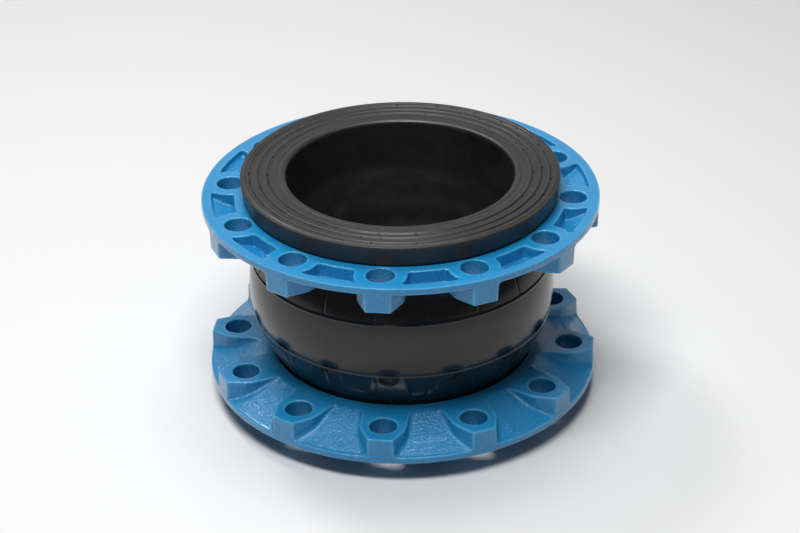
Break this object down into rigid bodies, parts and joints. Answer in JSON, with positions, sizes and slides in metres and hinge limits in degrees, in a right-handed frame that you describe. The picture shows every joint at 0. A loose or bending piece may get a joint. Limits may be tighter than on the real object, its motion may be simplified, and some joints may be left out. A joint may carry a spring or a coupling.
{
  "type": "rubber expansion joint",
  "caption": "Round flexible pipe connector: a bulged rubber tube with thick sealing ends and two blue floating flanges with lightening pockets and bolt bosses.",
  "frame": {"origin": "centre of the lower sealing face, on the flow axis", "axes": "+Z along the flow axis to the upper sealing face; X and Y lie midway between bolt holes, and both flanges stand at the same angle"},
  "size_m": [0.34, 0.34, 0.205],
  "materials": {
    "coated_iron": "ductile iron casting with a glossy sky-blue coating, orange-peel texture",
    "seal_rubber": "moulded black rubber, satin sealing face with concentric ridges, glossy side",
    "cover_rubber": "moulded black rubber cover, semi-gloss with mould ridges",
    "liner_rubber": "smooth matt black rubber liner",
    "filler_rubber": "hard black rubber",
    "tyre_cord": "rubberised nylon tyre cord, brown, ribbed",
    "bead_wire": "brass-coated steel wire",
    "wrap_tape": "rubberised cotton tape"
  },
  "bodies": {
    "lower_end": {"lower_sealing_collar": "seal_rubber", "lower_bead_hoop": "bead_wire", "lower_bead_wrap": "wrap_tape", "lower_bead_filler": "filler_rubber"},
    "lower_ring": {"lower_flange": "coated_iron"},
    "arch_lower": {"inner_liner": "liner_rubber", "cord_ply_1": "tyre_cord", "cord_ply_2": "tyre_cord"},
    "arch_upper": {"cord_ply_3": "tyre_cord", "cord_ply_4": "tyre_cord", "outer_cover": "cover_rubber"},
    "upper_end": {"upper_sealing_collar": "seal_rubber", "upper_bead_hoop": "bead_wire", "upper_bead_wrap": "wrap_tape", "upper_bead_filler": "filler_rubber"},
    "upper_ring": {"upper_flange": "coated_iron"}
  },
  "joints": [
    {"name": "lower_flange_swivel", "type": "hinge", "parent": "lower_end", "child": "lower_ring", "pos_m": [0, 0, 0.019], "axis": [0, 0, 1], "continuous": true},
    {"name": "lateral_shift", "type": "slide", "parent": "lower_end", "child": "arch_lower", "axis": [1, 0, 0], "range_m": [-0.022, 0.022], "stiffness_N_per_m": 100000, "deforming": ["inner_liner", "cord_ply_1", "cord_ply_2", "cord_ply_3", "cord_ply_4", "outer_cover"]},
    {"name": "angular_tilt", "type": "hinge", "parent": "arch_lower", "child": "arch_upper", "pos_m": [0, 0, 0.1025], "axis": [0, 1, 0], "range_deg": [-15, 15], "stiffness_Nm_per_rad": 690, "deforming": ["inner_liner", "cord_ply_1", "cord_ply_2", "cord_ply_3", "cord_ply_4", "outer_cover"]},
    {"name": "axial_stroke", "type": "slide", "parent": "arch_upper", "child": "upper_end", "axis": [0, 0, 1], "range_m": [-0.025, 0.016], "stiffness_N_per_m": 80000, "deforming": ["inner_liner", "cord_ply_1", "cord_ply_2", "cord_ply_3", "cord_ply_4", "outer_cover"]},
    {"name": "upper_flange_swivel", "type": "hinge", "parent": "upper_end", "child": "upper_ring", "pos_m": [0, 0, 0.186], "axis": [0, 0, 1], "continuous": true}
  ]
}
